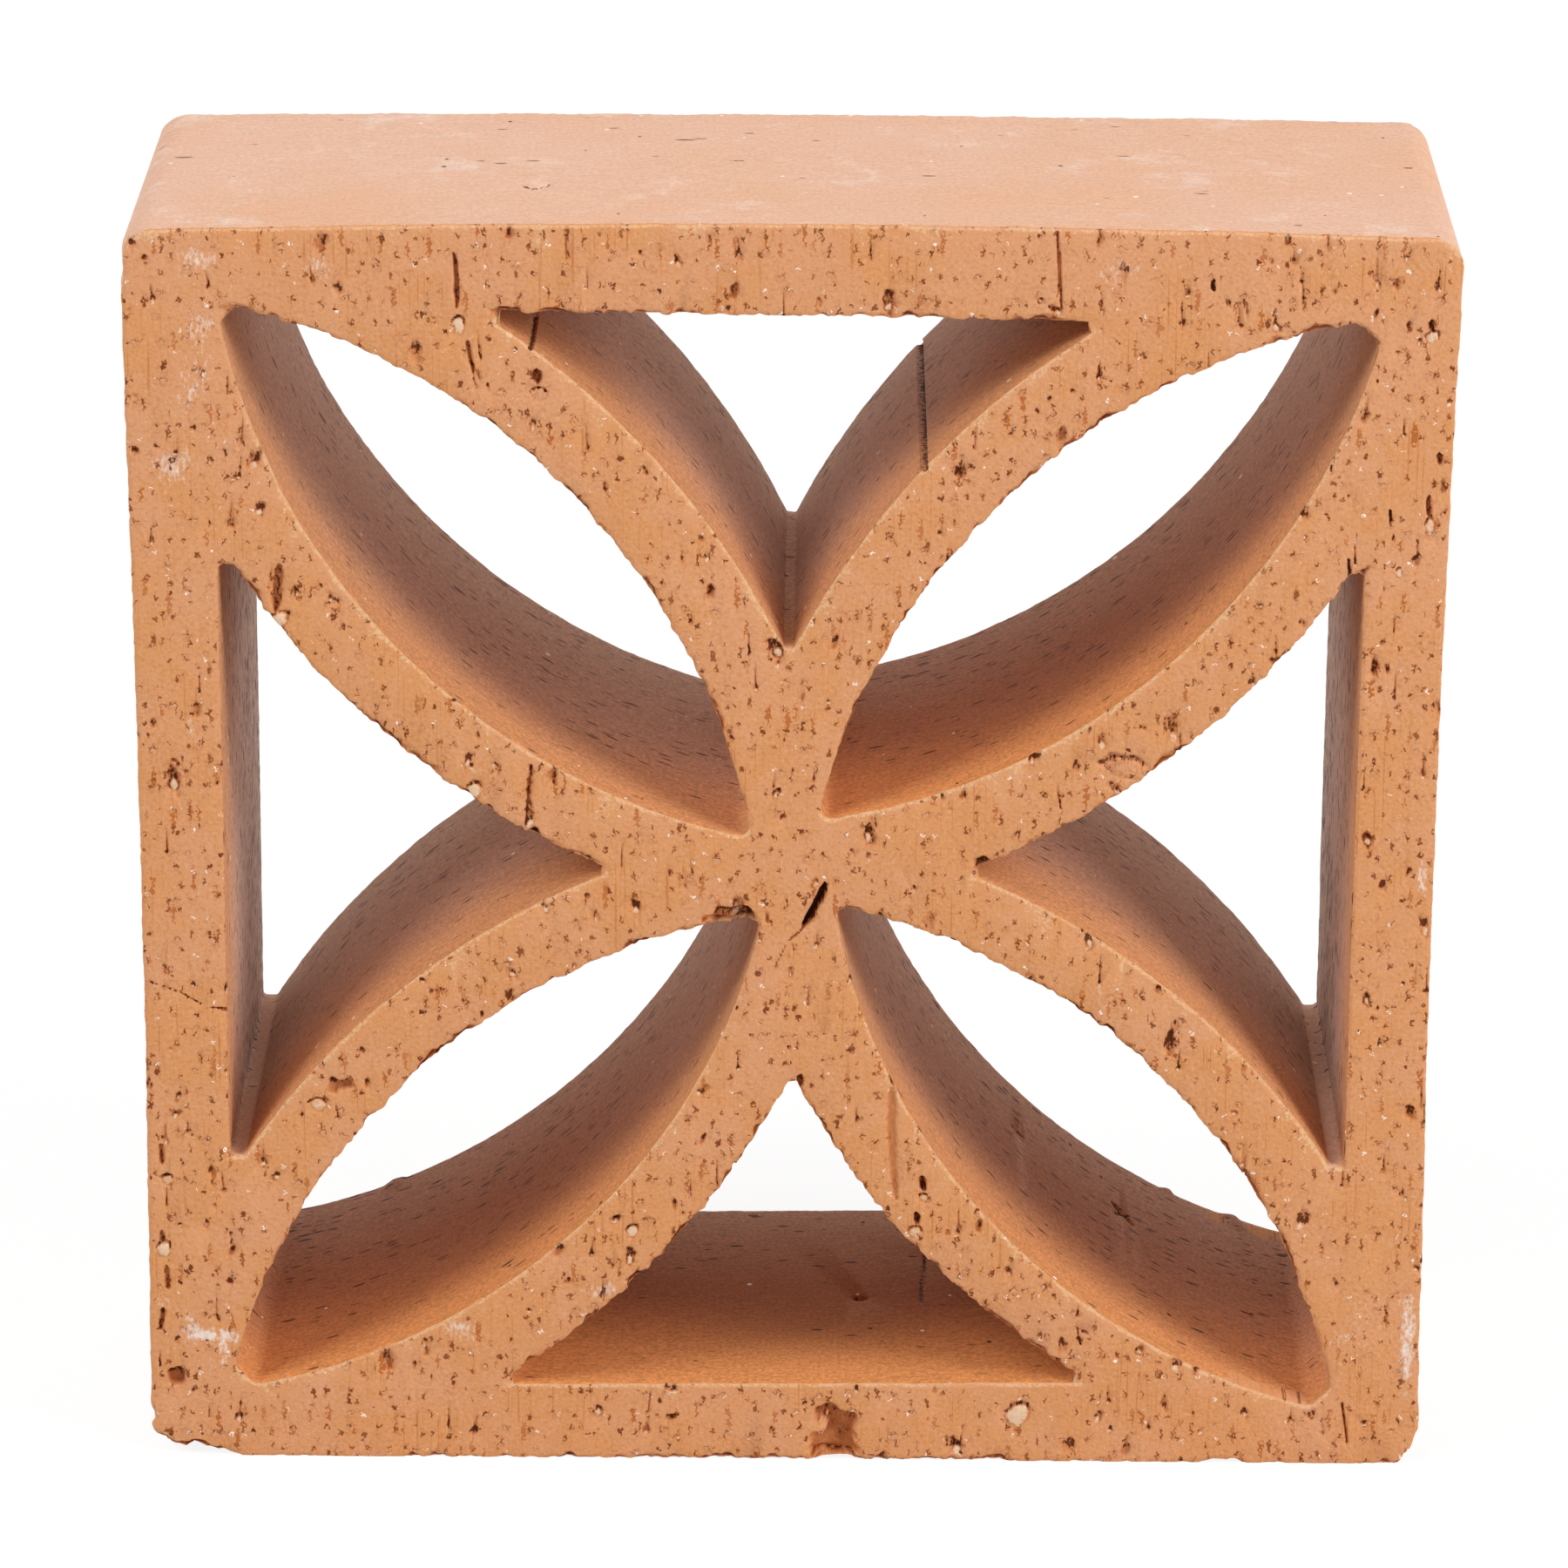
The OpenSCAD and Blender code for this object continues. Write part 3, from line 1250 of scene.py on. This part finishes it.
@dataclass
class BreezeBlock:
    """The one fired piece, remade from its solid with the wear that the real one shows."""

    profile: DieProfile
    warp: FiringWarp
    faces: tuple[CutFace, ...]
    scars: tuple[Scar, ...]
    cut_finish: WireCutClay
    die_finish: DieSkin
    # Strengths of the painted bounce light on the walls of the openings.
    wall_bounce_warmth: dict[Opening, float]
    wall_pale_bounce_level: float = 0.85
    lit_end_inner: float = 0.2
    voxel: float = 0.6
    settle_reach: float = 2.5
    triangles: int = 192000
    crease_deg: float = 38.0
    piece: bpy.types.Object | None = field(default=None, init=False)

    def build(self) -> bpy.types.Object:
        """Remakes the solid as one fine mesh and shapes it.

        Returns:
            The finished piece.
        """
        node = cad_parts["breeze_block"]
        bpy.ops.object.select_all(action="DESELECT")
        self.piece = bpy.data.objects.new("fired_block", node.data.copy())
        bpy.context.scene.collection.objects.link(self.piece)
        self.piece.data.materials.clear()
        bpy.context.view_layer.objects.active = self.piece
        self.piece.select_set(True)
        bpy.ops.object.mode_set(mode="EDIT")
        bpy.ops.mesh.select_all(action="SELECT")
        bpy.ops.mesh.remove_doubles(threshold=1e-6)
        bpy.ops.object.mode_set(mode="OBJECT")
        self.apply("REMESH", mode="VOXEL", voxel_size=self.voxel * MM)
        self.split_cut_faces()
        self.shape()
        mesh = self.piece.data
        mesh.calc_loop_triangles()
        ratio = self.triangles / len(mesh.loop_triangles)
        self.apply("DECIMATE", decimate_type="COLLAPSE", ratio=ratio)
        self.zone()
        bpy.ops.object.shade_smooth_by_angle(angle=math.radians(self.crease_deg))
        return self.piece

    def apply(self, kind: str, **settings: object) -> None:
        """Adds a modifier with its settings and applies it.

        Args:
            kind: Blender's name for the modifier type.
            **settings: Properties of the modifier.
        """
        modifier = self.piece.modifiers.new(kind.lower(), kind)
        for key, value in settings.items():
            setattr(modifier, key, value)
        bpy.ops.object.modifier_apply(modifier=modifier.name)

    def split_cut_faces(self) -> None:
        """Halves the mesh on the two cut faces, where the finest marks go."""
        mesh = self.piece.data
        centre = np.empty(len(mesh.polygons) * 3)
        mesh.polygons.foreach_get("center", centre)
        near = np.abs(centre[1::3]) > (self.profile.depth / 2 - 0.4 * self.voxel) * MM
        bpy.ops.object.mode_set(mode="EDIT")
        bpy.ops.mesh.select_mode(type="FACE")
        bpy.ops.mesh.select_all(action="DESELECT")
        bpy.ops.object.mode_set(mode="OBJECT")
        mesh.polygons.foreach_set("select", near)
        bpy.ops.object.mode_set(mode="EDIT")
        bpy.ops.mesh.subdivide(number_cuts=1)
        bpy.ops.object.mode_set(mode="OBJECT")

    def shape(self) -> None:
        """Sets the mesh back on the die's exact section, then carves and warps it."""
        mesh = self.piece.data
        flat = np.empty(len(mesh.vertices) * 3)
        mesh.vertices.foreach_get("co", flat)
        points = flat.reshape(-1, 3) / MM
        points[:, 2] -= self.profile.height / 2
        points = self.settle(points)
        marks = {name: np.zeros(len(points)) for name in MARKS}
        move = self.scrape(points, marks)
        for face in self.faces:
            move += face.carve(points, marks)
        points += move + self.warp.shift(points)
        points[:, 2] = np.maximum(points[:, 2] + self.profile.height / 2, 0.0)
        mesh.vertices.foreach_set("co", (points * MM).ravel())
        self.note(marks)
        mesh.update()

    def note(self, marks: dict[str, Array]) -> None:
        """Writes marks on the mesh's points, for the finishes to read.

        Args:
            marks: Strength of each mark at each point, by name.
        """
        for name, value in marks.items():
            layer = self.piece.data.attributes.new(name, "FLOAT", "POINT")
            layer.data.foreach_set("value", value.astype(np.float32))

    def scrape(self, points: Array, marks: dict[str, Array]) -> Array:
        """Works out how cracks and gouges move the points of the die faces.

        Args:
            points: Points of the whole block before the warp, N by 3.
            marks: Strength of each mark at each point, which is added to.

        Returns:
            The move of each point, N by 3.
        """
        move = np.zeros_like(points)
        for scar in self.scars:
            start, along = np.array(scar.start), np.array(scar.end) - np.array(scar.start)
            t = np.clip((points - start) @ along / (along @ along), 0.0, 1.0)
            off = np.linalg.norm(points - start - t[:, None] * along, axis=1)
            hit = np.nonzero(off < scar.wide)[0]
            away_x, away_z = self.profile.nearest_edge(points[hit, 0], points[hit, 2])[2:]
            cut = smooth(1.0, 0.3, off[hit] / scar.wide)
            move[hit, 0] += away_x * scar.deep * cut
            move[hit, 2] += away_z * scar.deep * cut
            # Painted shade along the crack or gouge.
            marks["pit_shade"][hit] = np.maximum(marks["pit_shade"][hit], cut)
        return move

    def settle(self, points: Array) -> Array:
        """Puts points that lie close to the section's surfaces exactly on them.

        Args:
            points: Points of the remade mesh, N by 3.

        Returns:
            The settled points.
        """
        points = points.copy()
        half = self.profile.depth / 2
        flat = np.abs(points[:, 1]) > half - 0.5 * self.voxel
        points[flat, 1] = np.sign(points[flat, 1]) * half
        for gap in (self.profile.opening_gap, self.profile.outline_gap):
            x, z = points[:, 0], points[:, 2]
            off = gap(x, z)
            on = np.where(flat, off < 0.3 * self.voxel, np.abs(off) < self.settle_reach)
            gx, gz = self.profile.slope(gap, x[on], z[on])
            points[on, 0] -= gx * off[on]
            points[on, 2] -= gz * off[on]
        return points

    def unwarped(self, numbers: Array) -> Array:
        """Takes the warp back out of places on the finished mesh.

        Args:
            numbers: Coordinates in metres, in one row.

        Returns:
            The points in millimetres from the block's middle, N by 3.
        """
        points = numbers.reshape(-1, 3) / MM
        points[:, 2] -= self.profile.height / 2
        return points - self.warp.shift(points)

    def zone(self) -> None:
        """Gives each face its finish, and marks the walls of the openings and the painted bounce light on
        them.
        """
        mesh = self.piece.data
        centre, normal = (np.empty(len(mesh.polygons) * 3) for _ in range(2))
        mesh.polygons.foreach_get("center", centre)
        mesh.polygons.foreach_get("normal", normal)
        x, y, z = self.unwarped(centre).T
        edge = np.minimum(self.profile.opening_gap(x, z), self.profile.outline_gap(x, z))
        inset = self.profile.depth / 2 - np.abs(y)
        # Wire-cut faces look forward or back, or lie off the die's section where clay broke away.
        cut = (inset < 6.0) & (np.abs(normal[1::3]) > 0.45)
        cut |= (inset < 4.0) & (edge > 0.35)
        mesh.polygons.foreach_set("material_index", np.where(cut, 0, 1).astype(np.int32))
        corner = np.empty(len(mesh.vertices) * 3)
        mesh.vertices.foreach_get("co", corner)
        x, y, z = self.unwarped(corner).T
        opening = self.profile.opening_gap(x, z)
        rise = self.profile.slope(self.profile.opening_gap, x, z)[1] * -1
        # Painted bounce light: orange on the upward walls of each opening, by its strength in the table,
        # and pale, below 0, on steep and downward walls.
        bounce_warmth = np.zeros(len(x))
        for place, much in self.wall_bounce_warmth.items():
            bounce_warmth = np.where(self.profile.gap(place, x, z) < opening + 0.01, much, bounce_warmth)
        bounce_warmth = bounce_warmth * smooth(0.1, 0.85, rise) - self.wall_pale_bounce_level * smooth(0.45, -0.05, rise)
        inner = np.where(opening < self.profile.outline_gap(x, z), 1.0, 0.0)
        for place in self.wall_bounce_warmth:
            if place.is_petal:
                continue
            # The blunt ends keep a smooth skin like that of the outside, whose pale colour also stands
            # for painted light on their upward flats; they get no painted bounce light.
            near = np.abs(self.profile.gap(place, x, z)) < 1.0
            end = near & self.profile.blunt_end(place, x, z)
            inner = np.where(end, self.lit_end_inner, inner)
            bounce_warmth = np.where(end, 0.0, bounce_warmth)
        self.note({"inner": inner, "bounce_warmth": bounce_warmth})

    def dress(self) -> None:
        """Gives the piece its two finishes and ties it to the frame."""
        for finish in (self.cut_finish, self.die_finish):
            self.piece.data.materials.append(finish.build())
        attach(self.piece, "root")
        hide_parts("breeze_block")


@dataclass(frozen=True)
class Softbox:
    """A flat lamp: where it stands round the block and how much light it gives there."""

    name: str
    turn_deg: float
    rise_deg: float
    wide_m: float
    high_m: float
    level: float
    away_m: float = 2.0


@dataclass
class Studio:
    """Pale floor, soft studio light and the photograph's camera."""

    floor_half_m: float = 3.0
    floor_paint: float = 0.7
    floor_shadow: float = 0.15
    floor_glow: float = 0.88
    ambient: float = 0.35
    lamp_aim_m: float = 0.095
    lens_mm: float = 161.94
    sensor_mm: float = 36.0
    camera_at: tuple[float, float, float] = (0.004983, -0.991552, 0.456935)
    camera_turn_deg: float = 0.3315
    camera_tilt_deg: float = -20.0038
    camera_roll_deg: float = 0.2858
    softboxes: tuple[Softbox, ...] = (
        Softbox("left_softbox", -60, 43, 0.9, 0.9, 0.48),
        Softbox("right_softbox", 60, 26, 0.9, 1.4, 0.71),
        Softbox("back_softbox", 180, 14, 2.4, 0.8, 0.42),
    )

    def seen(self, tree: Tree) -> Socket:
        """Tells rays that the camera sees, also by a mirror or through glass, from those that light.

        Args:
            tree: Node tree to add to.

        Returns:
            The socket, 1 for a ray that the camera sees.
        """
        path = add(tree, "ShaderNodeLightPath").outputs
        much = path["Is Camera Ray"]
        for kind in ("Is Glossy Ray", "Is Transmission Ray"):
            much = maths(tree, "MAXIMUM", much, path[kind])
        return much

    def build_floor(self) -> bpy.types.Object:
        """Lays the pale floor.

        Returns:
            The floor.
        """
        bpy.ops.object.select_all(action="DESELECT")
        bpy.ops.mesh.primitive_plane_add(size=2 * self.floor_half_m, location=(0, 0, 0))
        floor = bpy.context.object
        floor.name = "studio_floor"
        material = bpy.data.materials.new("pale_floor")
        material.use_nodes = True
        tree = material.node_tree
        tree.nodes.clear()
        # Light bounces off a pale grey floor; the camera sees it white, with the block's soft shadow.
        paint = add(tree, "ShaderNodeBsdfDiffuse", {"Color": (*(self.floor_paint,) * 3, 1.0)})
        faint = add(tree, "ShaderNodeBsdfDiffuse", {"Color": (*(self.floor_shadow,) * 3, 1.0)})
        glow = add(tree, "ShaderNodeEmission", {"Color": (1.0,) * 4, "Strength": self.floor_glow})
        both = add(tree, "ShaderNodeAddShader", {0: faint.outputs[0], 1: glow.outputs[0]})
        mix = add(
            tree, "ShaderNodeMixShader", {0: self.seen(tree), 1: paint.outputs[0], 2: both.outputs[0]}
        )
        add(tree, "ShaderNodeOutputMaterial", {"Surface": mix.outputs[0]})
        floor.data.materials.append(material)
        return floor

    def build_light(self) -> None:
        """Stands the softboxes around the block and sets the surrounding light."""
        for box in self.softboxes:
            lamp = bpy.data.lights.new(box.name, "AREA")
            lamp.shape = "RECTANGLE"
            lamp.size, lamp.size_y = box.wide_m, box.high_m
            lamp.energy = box.level * (math.pi * box.away_m) ** 2
            holder = bpy.data.objects.new(box.name, lamp)
            bpy.context.scene.collection.objects.link(holder)
            holder.matrix_world = (
                Matrix.Translation((0.0, 0.0, self.lamp_aim_m))
                @ Matrix.Rotation(math.radians(box.turn_deg), 4, "Z")
                @ Matrix.Rotation(math.radians(90 - box.rise_deg), 4, "X")
                @ Matrix.Translation((0.0, 0.0, box.away_m))
            )
        world = bpy.data.worlds.new("studio")
        bpy.context.scene.world = world
        world.use_nodes = True
        tree = world.node_tree
        tree.nodes.clear()
        soft = add(tree, "ShaderNodeBackground", {"Color": (1.0,) * 4, "Strength": self.ambient})
        white = add(tree, "ShaderNodeBackground", {"Color": (1.0,) * 4, "Strength": 1.0})
        mix = add(
            tree, "ShaderNodeMixShader", {0: self.seen(tree), 1: soft.outputs[0], 2: white.outputs[0]}
        )
        add(tree, "ShaderNodeOutputWorld", {"Surface": mix.outputs[0]})

    def build_camera(self) -> bpy.types.Object:
        """Sets up the camera where the photograph was taken from.

        Returns:
            The camera.
        """
        lens = bpy.data.cameras.new("photo_camera")
        lens.sensor_width, lens.lens = self.sensor_mm, self.lens_mm
        lens.clip_start, lens.clip_end = 0.05, 50.0
        camera = bpy.data.objects.new("photo_camera", lens)
        bpy.context.scene.collection.objects.link(camera)
        camera.matrix_world = (
            Matrix.Translation(self.camera_at)
            @ Matrix.Rotation(math.radians(self.camera_turn_deg), 4, "Z")
            @ Matrix.Rotation(math.radians(90 + self.camera_tilt_deg), 4, "X")
            @ Matrix.Rotation(math.radians(self.camera_roll_deg), 4, "Z")
        )
        bpy.context.scene.camera = camera
        return camera


FRONT_GROOVES = (
    Groove(-47.6, 91.0, -47.6, 83.5, 1.1, 1.1, 0.2),
    Groove(-46.6, 79.0, -46.4, 74.0, 0.9, 1.0, 0.3),
    Groove(-74.0, 45.5, -74.0, 38.8, 2.0, 1.3, 0.3),
    Groove(-37.9, 16.0, -37.7, 6.8, 0.9, 0.9),
    Groove(15.3, -29.3, 15.3, -33.5, 1.1, 1.0, 0.6),
    Groove(15.3, -32.0, 15.6, -53.0, 2.0, 0.4, 0.0),
    Groove(20.2, -48.4, 20.2, -51.0, 1.6, 1.6, 0.65),
    Groove(18.9, -55.0, 18.7, -57.0, 1.4, 1.5, 0.65),
    Groove(-36.6, 74.8, -36.5, 72.8, 1.9, 1.6, 0.3),
    Groove(37.5, 94.5, 37.8, 84.5, 0.8, 0.7, 0.3),
    Groove(84.5, -82.0, 84.7, -92.0, 0.5, 0.7),
    Groove(4.9, -2.8, 0.8, -8.8, 1.7, 3.0, 1.1),
    Groove(0.6, -9.2, -1.4, -10.6, 0.5, 0.4, 0.3),
    Groove(-1.4, -10.6, -3.0, -14.0, 0.4, 0.3, 0.25),
    Groove(-92.9, -44.4, -92.7, -47.6, 1.3, 0.8, 0.3),
    Groove(-93.0, -58.6, -92.9, -60.4, 1.3, 0.9, 0.45),
    Groove(-92.4, -64.0, -92.2, -67.8, 1.2, 0.8, 0.25),
    Groove(-93.0, -70.9, -93.4, -74.4, 1.0, 1.0, 0.4),
    Groove(91.7, 57.2, 91.8, 54.0, 1.1, 1.1, 0.5),
    Groove(86.1, 55.2, 86.2, 53.2, 0.6, 0.8, 1.2),
    Groove(90.6, 83.2, 90.8, 81.9, 1.4, 1.2, 0.6),
    Groove(59.6, 88.0, 59.6, 86.2, 0.6, 0.8, 1.2),
    Groove(79.9, 48.4, 79.9, 45.6, 0.6, 0.8, 0.9),
    Groove(93.0, 63.4, 93.2, 61.8, 1.2, 1.0, 0.55),
    Groove(-94.5, -18.6, -89.5, -20.2, 0.4, 0.4, 0.7),
    Groove(-89.5, -20.2, -85.0, -22.4, 0.4, 0.4, 0.7),
    Groove(-85.0, -22.4, -81.4, -22.6, 0.4, 0.4, 0.7),
)
FRONT_STONES = (
    Stone(-47.6, 81.0, 1.4, 2.2),
    Stone(-73.6, 37.4, 2.6, 2.2),
    Stone(-45.4, 12.0, 2.0, 2.6),
    Stone(34.0, -88.0, 3.2, 3.0),
    Stone(48.6, 16.0, 4.8, 2.8, 0.4, 0.12),
    Stone(90.8, 80.8, 1.8, 1.5),
    Stone(92.0, 52.6, 1.2, 2.2, 0.2, 0.7),
    Stone(87.4, 45.8, 0.8, 1.4),
    Stone(-23.6, -57.6, 1.6, 2.0),
    Stone(-92.6, -61.5, 1.8, 2.4),
    Stone(20.3, -52.2, 1.2, 1.3, 0.2, 0.45),
    Stone(18.4, -58.4, 1.7, 1.5, 0.2, 0.55),
    Stone(-36.4, 71.2, 2.0, 1.6, 0.2, 0.35),
    Stone(-91.9, -50.1, 1.5, 1.7, 0.2, 0.6),
    Stone(-69.4, -37.5, 1.9, 1.7, 0.2, 0.6),
)
FRONT_SMEARS = (
    Smear(-86.0, -75.2, 11.5, 2.6, 1.6),
    Smear(-92.6, -70.0, 3.4, 1.4, 1.2),
    Smear(-49.5, -73.5, 6.0, 4.0),
    Smear(-28.0, -67.5, 7.0, 4.0),
    Smear(-89.0, 60.0, 10.0, 6.0),
    Smear(-85.5, 79.5, 4.5, 8.0),
    Smear(-86.0, 71.0, 3.5, 6.0),
    Smear(-84.0, 90.5, 9.0, 4.0),
    Smear(-68.0, 89.5, 6.0, 4.0),
    Smear(47.0, 89.5, 9.0, 4.0, 0.6),
    Smear(-62.0, 46.0, 4.0, 5.0),
    Smear(93.2, 0.0, 2.0, 9.0, 1.3),
    Smear(93.2, -75.0, 2.4, 22.0, 1.2),
    Smear(84.0, -72.0, 5.0, 2.0),
)
FRONT_CHIPS = (
    Chip(-92.5, -94.0, 7.0, 1.6),
    Chip(-85.0, -95.0, 4.5, 0.9),
    Chip(94.0, -93.0, 5.0, 0.8),
    Chip(7.4, -95.0, 4.0, 0.7),
    Chip(65.5, -95.0, 4.0, 0.6),
    Chip(-94.0, 91.0, 4.5, 0.6),
)
BACK_CHIPS = (
    Chip(71.7, -83.3, 3.5, -0.9),
    Chip(60.3, -78.0, 2.5, -0.7),
    Chip(-62.6, -77.5, 2.0, -0.5),
)
SCARS = (
    Scar((18.8, -33.0, 61.4), (18.8, 33.0, 61.4), 0.7, 0.9),
    Scar((-37.2, -33.0, 78.0), (-37.2, -15.0, 78.0), 0.5, 0.5),
    Scar((20.0, 14.9, -83.0), (19.6, -2.9, -83.0), 0.5, 0.4),
    Scar((9.5, -1.5, -83.0), (10.5, -1.5, -83.0), 0.9, 0.7),
    Scar((51.7, 14.6, -71.6), (54.4, 10.9, -73.2), 0.7, 0.7),
    Scar((52.0, 11.4, -71.8), (53.8, 13.2, -72.9), 0.6, 0.5),
    Scar((35.4, 14.9, -59.4), (37.0, 14.2, -60.8), 0.7, 0.6),
    Scar((-38.4, -10.7, 95.0), (-36.8, -12.5, 95.0), 0.6, 0.6),
    Scar((-36.8, -12.5, 95.0), (-34.8, -10.2, 95.0), 0.6, 0.6),
    Scar((-95.0, -9.0, 31.0), (-95.0, 4.0, 29.6), 0.5, 0.4),
    Scar((-95.0, 12.0, -46.0), (-95.0, 13.5, -52.0), 0.5, 0.4),
    Scar((95.0, 6.0, 48.0), (95.0, 15.0, 47.2), 0.5, 0.4),
    Scar((95.0, -14.0, -28.0), (95.0, -12.6, -33.0), 0.5, 0.4),
)
# Strength of the painted orange bounce light on the upward walls of each opening.
WALL_BOUNCE_WARMTH = {
    Opening.PETAL_UPPER_RIGHT: 0.92,
    Opening.PETAL_UPPER_LEFT: 0.50,
    Opening.PETAL_LOWER_LEFT: 0.92,
    Opening.PETAL_LOWER_RIGHT: 0.78,
    Opening.TRIANGLE_TOP: 0.44,
    Opening.TRIANGLE_LEFT: 0.46,
    Opening.TRIANGLE_BOTTOM: 1.0,
    Opening.TRIANGLE_RIGHT: 0.48,
}
FRONT_BREAKS = (
    Break(7.4, -91.5, 6.2, 8.0, 2.6, 0.15),
    Break(-9.0, -6.2, 7.6, 2.8, 1.8),
    Break(27.4, 1.2, 2.0, 2.6, 1.2),
    Break(1.2, -34.4, 1.6, 2.6, 1.0),
    Break(-91.4, -82.0, 2.4, 2.6, 2.0),
    Break(-66.5, -34.3, 2.8, 2.6, 1.2),
)


def main() -> None:
    """Builds the studio and the block, and reports each piece."""
    logging.basicConfig(level=logging.INFO, format="%(name)s: %(message)s")
    bpy.context.scene.view_settings.view_transform = "Standard"
    studio = Studio()
    studio.build_camera()
    studio.build_floor()
    studio.build_light()
    profile = DieProfile()
    front = CutFace(
        Side.FRONT, profile, seed=41, grooves=FRONT_GROOVES, stones=FRONT_STONES,
        smears=FRONT_SMEARS, breaks=FRONT_BREAKS, chips=FRONT_CHIPS,
    )
    back = CutFace(Side.BACK, profile, seed=97, pits=500, chips=BACK_CHIPS)
    block = BreezeBlock(
        profile, FiringWarp(profile), (front, back), SCARS, WireCutClay(), DieSkin(), WALL_BOUNCE_WARMTH
    )
    piece = block.build()
    block.dress()
    LOG.info("%s: %d faces", piece.name, len(piece.data.polygons))


if __name__ == "__main__":
    main()
